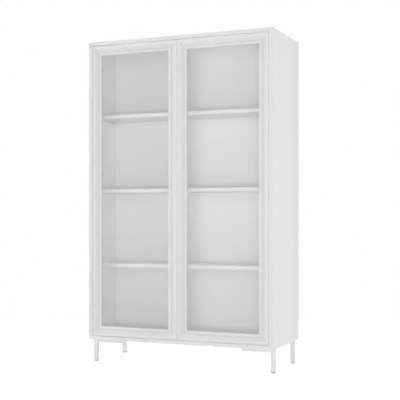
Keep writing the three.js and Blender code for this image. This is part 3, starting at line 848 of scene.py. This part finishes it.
class BOOKCASE_OT_boards(bpy.types.Operator):
    """Finish the carcass boards, the shelves and the thin back panel"""

    bl_idname = "bookcase.boards"
    bl_label = "Boards and back"

    def execute(self, context):
        colours, edge = context.scene.bookcase_colours, context.scene.bookcase_sizes.board_edge
        boards = nodes_of("white_board")
        dress(boards, edge, lacquered, colours.board, roughness=colours.board_gloss)
        dress(nodes_of("back_board"), edge, fibreboard, colours.back)
        return {"FINISHED"}


class BOOKCASE_OT_door_frames(bpy.types.Operator):
    """Finish the mitred door frames"""

    bl_idname = "bookcase.door_frames"
    bl_label = "Door frames"

    def execute(self, context):
        colours, edge = context.scene.bookcase_colours, context.scene.bookcase_sizes.frame_edge
        for side_name in SIDES:
            members = [
                name for name in nodes_of("door_frame") if name.startswith(f"{side_name}_door")
            ]
            dress(
                members, edge, frame_lacquer, colours.door_frame, box=box_round(members),
                roughness=colours.frame_gloss,
            )
        return {"FINISHED"}


class BOOKCASE_OT_panes(bpy.types.Operator):
    """Finish the glass panes and the strips that hold them"""

    bl_idname = "bookcase.panes"
    bl_label = "Panes and strips"

    def execute(self, context):
        colours = context.scene.bookcase_colours
        dress(nodes_of("clear_glass"), 0, float_glass, colours.glass)
        dress(nodes_of("glazing_strip"), 0, extruded, colours.strip)
        return {"FINISHED"}


class BOOKCASE_OT_legs(bpy.types.Operator):
    """Finish the legs and glides, and screw the leg brackets to the bottom panel"""

    bl_idname = "bookcase.legs"
    bl_label = "Legs"

    def execute(self, context):
        colours, sizes = context.scene.bookcase_colours, context.scene.bookcase_sizes
        legs = nodes_of("leg_steel")
        dress(legs, 0, powder_coat, colours.legs)
        dress(nodes_of("glide_plastic"), 0, moulded, colours.glide, roughness=0.5)
        places = []
        for name in legs:
            low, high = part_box(name)
            side = math.copysign(1, low.x + high.x)
            tube = high.y - low.y
            middle = side * (max(abs(low.x), abs(high.x)) - tube / 2 - LEG_SCREW_MIDDLE)
            y, under = (low.y + high.y) / 2, high.z - LEG_BRACKET_HEIGHT
            places += [(x, y, under) for x in pair(middle, LEG_SCREW_SPACING)]
        shape = screw(sizes.bolt_head, sizes.bolt_rise, sizes.bolt_shank, sizes.bolt_depth)
        metal = plated("Zinc leg screws", CAD_BOX, colours.zinc)
        screws = copies(shape, places, (0, 0, -1), scattered(len(places), LEG_SEED))
        piece("leg_bracket_screws", [screws], metal, "carcass")
        return {"FINISHED"}


class BOOKCASE_OT_hinges(bpy.types.Operator):
    """Finish the hinges and put in their plate, cup and adjusting screws"""

    bl_idname = "bookcase.hinges"
    bl_label = "Hinges"

    def execute(self, context):
        colours, sizes = context.scene.bookcase_colours, context.scene.bookcase_sizes
        dress(nodes_of("nickel_steel"), 0, plated, colours.nickel, stretch=(0.15, 1.0, 1.0))
        shape = small_screw(sizes)
        metal = plated("Zinc hinge screws", CAD_BOX, colours.zinc)
        for side_name, side in SIDES.items():
            plates, cups, adjusters = [], [], []
            door_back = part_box(f"{side_name}_door_top_rail")[1].y
            for height in HINGE_HEIGHTS:
                low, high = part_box(f"{side_name}_hinge_arm_{height}")
                z = (low.z + high.z) / 2
                panel = max(abs(low.x), abs(high.x))
                face, top = side * (panel - PLATE_THICKNESS), side * (panel - ARM_TOP)
                back = door_back + PLATE_FROM_DOOR
                plates += [(face, back, at) for at in pair(z, PLATE_SCREW_SPACING)]
                adjusters += [(top, door_back + gap, z) for gap in ADJUSTERS_FROM_DOOR]
                cup = f"{side_name}_hinge_cup_{height}"
                ear_x, ear_y = middle_of(cup).x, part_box(cup)[1].y
                cups += [(ear_x, ear_y, at) for at in pair(z, EAR_SCREW_SPACING)]
            inward = (-side, 0, 0)
            plate_turns = scattered(len(plates), PLATE_SEED + side)
            adjuster_turns = scattered(len(adjusters), ADJUSTER_SEED + side)
            piece(
                f"{side_name}_hinge_plate_screws",
                [copies(shape, plates, inward, plate_turns),
                 copies(shape, adjusters, inward, adjuster_turns)],
                metal, "carcass",
            )
            screws = copies(shape, cups, (0, 1, 0), scattered(len(cups), CUP_SEED + side))
            door = f"{side_name}_door"
            piece(f"{side_name}_hinge_cup_screws", [screws], metal, door)
        return {"FINISHED"}


class BOOKCASE_OT_latches(bpy.types.Operator):
    """Finish the push latches, and add their screws and the strike discs on the doors"""

    bl_idname = "bookcase.latches"
    bl_label = "Latches"

    def execute(self, context):
        colours, sizes = context.scene.bookcase_colours, context.scene.bookcase_sizes
        dress(nodes_of("latch_plastic"), 0, moulded, colours.latch, roughness=0.45)
        dress(nodes_of("plunger_plastic"), 0, moulded, colours.plunger, roughness=0.4)
        shape = small_screw(sizes)
        metal = plated("Zinc latch screws", CAD_BOX, colours.zinc)
        steel = plated("Strike disc steel", CAD_BOX, colours.nickel)
        for side_name, side in SIDES.items():
            low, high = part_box(f"{side_name}_latch_housing")
            y, under = high.y - LATCH_FLANGE_LENGTH / 2, high.z - LATCH_FLANGE_THICKNESS
            middle = (low.x + high.x) / 2
            places = [(x, y, under) for x in pair(middle, LATCH_SCREW_SPACING)]
            turns = scattered(len(places), LATCH_SEED + side)
            screws = copies(shape, places, (0, 0, -1), turns)
            piece(f"{side_name}_latch_screws", [screws], metal, "carcass")
            tip = middle_of(f"{side_name}_latch_plunger")
            door_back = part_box(f"{side_name}_door_top_rail")[1].y
            flat = disc(sizes.strike_radius, sizes.strike_rise)
            strike = copies(flat, (tip.x, door_back, tip.z), (0, 1, 0))
            door = f"{side_name}_door"
            piece(f"{side_name}_strike_disc", [strike], steel, door)
        return {"FINISHED"}


class BOOKCASE_OT_shelf_fittings(bpy.types.Operator):
    """Cover the cams that hold the fixed shelf"""

    bl_idname = "bookcase.shelf_fittings"
    bl_label = "Shelf fittings"

    def execute(self, context):
        colours, sizes = context.scene.bookcase_colours, context.scene.bookcase_sizes
        low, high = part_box("shelf_middle")
        rows = [middle_of(f"upper_shelf_pin_left_{end}").y for end in ("front", "back")]
        x = high.x - CAM_FROM_END
        places = [(side * x, row, low.z) for side in SIDES.values() for row in rows]
        plastic = moulded("Cam cover plastic", (low, high), colours.latch, roughness=0.5)
        shape = cam_cover(sizes.cover_radius, sizes.cover_rise)
        covers = copies(shape, places, (0, 0, -1), scattered(len(places), COVER_SEED))
        piece("shelf_cam_covers", [covers], plastic, "carcass")
        return {"FINISHED"}


class BOOKCASE_OT_back_clips(bpy.types.Operator):
    """Hold the back panel with plastic clips along the side panels"""

    bl_idname = "bookcase.back_clips"
    bl_label = "Back clips"

    def execute(self, context):
        colours, sizes = context.scene.bookcase_colours, context.scene.bookcase_sizes
        low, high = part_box("back_panel")
        inner = -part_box("left_side_panel")[0].x - SIDE_THICKNESS
        heights = np.linspace(low.z + CLIP_FROM_END, high.z - CLIP_FROM_END, CLIPS_PER_SIDE)
        x = inner - sizes.clip_width / 2
        places = [(side * x, high.y, z) for side in SIDES.values() for z in heights]
        plastic = moulded("Clip plastic", (low, high), colours.latch, roughness=0.5)
        shape = clip(sizes.clip_width, sizes.clip_length, sizes.clip_rise)
        clips = copies(shape, places, (0, 1, 0))
        piece("back_panel_clips", [clips], plastic, "carcass")
        return {"FINISHED"}


class BOOKCASE_OT_studio(bpy.types.Operator):
    """Set up the pale floor, the white surroundings, the soft lamps and the camera"""

    bl_idname = "bookcase.studio"
    bl_label = "Studio"

    def execute(self, context):
        scene, studio = context.scene, context.scene.bookcase_studio
        scene.view_settings.view_transform = "Standard"
        self.surroundings(scene, studio.ambient)
        self.floor(studio)
        middle = (CAD_BOX[0] + CAD_BOX[1]) / 2
        for name, (place, size) in LAMPS.items():
            light = getattr(studio, f"{name}_power")
            self.lamp(f"{name.capitalize()} lamp", place, middle, size, light)
        camera = added("Camera", bpy.data.cameras.new("Camera"))
        camera.location = studio.camera_place
        camera.rotation_euler = (math.pi / 2, 0, studio.camera_turn)
        camera.data.lens = studio.lens
        camera.data.shift_y = studio.rise
        scene.camera = camera
        scene.cycles.diffuse_bounces = scene.cycles.max_bounces = LIGHT_BOUNCES
        return {"FINISHED"}

    def surroundings(self, scene, ambient):
        """White for the camera and in gloss and glass, and an even light of the ambient strength
        for the rest."""
        scene.world = bpy.data.worlds.new("Studio")
        tree = fresh_tree(scene.world)
        strength = between(tree, on_seen_rays(tree), low=ambient, high=1.0, kind="LINEAR")
        white = {"Color": (1, 1, 1, 1), "Strength": strength}
        light = node(tree, "ShaderNodeBackground", white)
        node(tree, "ShaderNodeOutputWorld", {"Surface": light.outputs[0]})

    def floor(self, studio):
        """A wide pale floor that keeps its shadows. Where it is seen, it is lifted towards white,
        and far from the bookcase it is white."""
        mesh = bpy.data.meshes.new("Floor")
        far = FLOOR_REACH
        corners = [(-far, -far, 0), (far, -far, 0), (far, far, 0), (-far, far, 0)]
        mesh.from_pydata(corners, [], [(0, 1, 2, 3)])
        made = added("Floor", mesh)
        material = bpy.data.materials.new("Pale floor")
        tree = fresh_tree(material)
        plain = node(tree, "ShaderNodeBsdfDiffuse", {"Color": opaque(studio.floor)})
        seen = on_seen_rays(tree)
        lifted = maths(tree, "MULTIPLY", seen, studio.floor_lift)
        lift = node(tree, "ShaderNodeEmission", {"Strength": lifted})
        near = node(tree, "ShaderNodeAddShader", {0: plain.outputs[0], 1: lift.outputs[0]})
        place = node(tree, "ShaderNodeTexCoord").outputs["Object"]
        away = node(tree, "ShaderNodeVectorMath", {0: place}, operation="LENGTH").outputs["Value"]
        distant = between(tree, away, low=0.0, high=1.0, start=FLOOR_NEAR, end=FLOOR_FAR)
        white = node(tree, "ShaderNodeEmission", {"Strength": 1.0})
        whitened = maths(tree, "MULTIPLY", distant, seen)
        both = node(
            tree, "ShaderNodeMixShader", {0: whitened, 1: near.outputs[0], 2: white.outputs[0]}
        )
        node(tree, "ShaderNodeOutputMaterial", {"Surface": both.outputs[0]})
        mesh.materials.append(material)

    def lamp(self, name, place, target, size, energy):
        """A rectangular lamp turned towards a point."""
        light = bpy.data.lights.new(name, "AREA")
        light.shape = "RECTANGLE"
        light.size, light.size_y = size
        light.energy = energy
        made = added(name, light)
        made.visible_glossy = False
        made.visible_transmission = False
        made.location = place
        made.rotation_euler = (target - made.location).to_track_quat("-Z", "Y").to_euler()


OPERATORS = (
    BOOKCASE_OT_boards, BOOKCASE_OT_door_frames, BOOKCASE_OT_panes, BOOKCASE_OT_legs,
    BOOKCASE_OT_hinges, BOOKCASE_OT_latches, BOOKCASE_OT_shelf_fittings, BOOKCASE_OT_back_clips,
    BOOKCASE_OT_studio,
)
GROUPS = {
    "bookcase_colours": BookcaseColours,
    "bookcase_sizes": BookcaseSizes,
    "bookcase_studio": BookcaseStudio,
}


class BOOKCASE_PT_sidebar(bpy.types.Panel):
    """The bookcase's sizes, colours and pieces"""

    bl_idname = "BOOKCASE_PT_sidebar"
    bl_label = "Bookcase"
    bl_space_type = "VIEW_3D"
    bl_region_type = "UI"
    bl_category = "Bookcase"

    def draw(self, context):
        for name, group in GROUPS.items():
            box = self.layout.box()
            for key in group.__annotations__:
                box.prop(getattr(context.scene, name), key)
        for operator in OPERATORS:
            self.layout.operator(operator.bl_idname)


def register():
    """Registers the classes and gives the scene its property groups."""
    for kind in (*GROUPS.values(), *OPERATORS, BOOKCASE_PT_sidebar):
        bpy.utils.register_class(kind)
    for name, group in GROUPS.items():
        setattr(bpy.types.Scene, name, bpy.props.PointerProperty(type=group))


def unregister():
    """Takes them away again."""
    for name in GROUPS:
        delattr(bpy.types.Scene, name)
    for kind in reversed((*GROUPS.values(), *OPERATORS, BOOKCASE_PT_sidebar)):
        bpy.utils.unregister_class(kind)


def main():
    register()
    for operator in OPERATORS:
        group, action = operator.bl_idname.split(".")
        getattr(getattr(bpy.ops, group), action)()


if __name__ == "__main__":
    main()
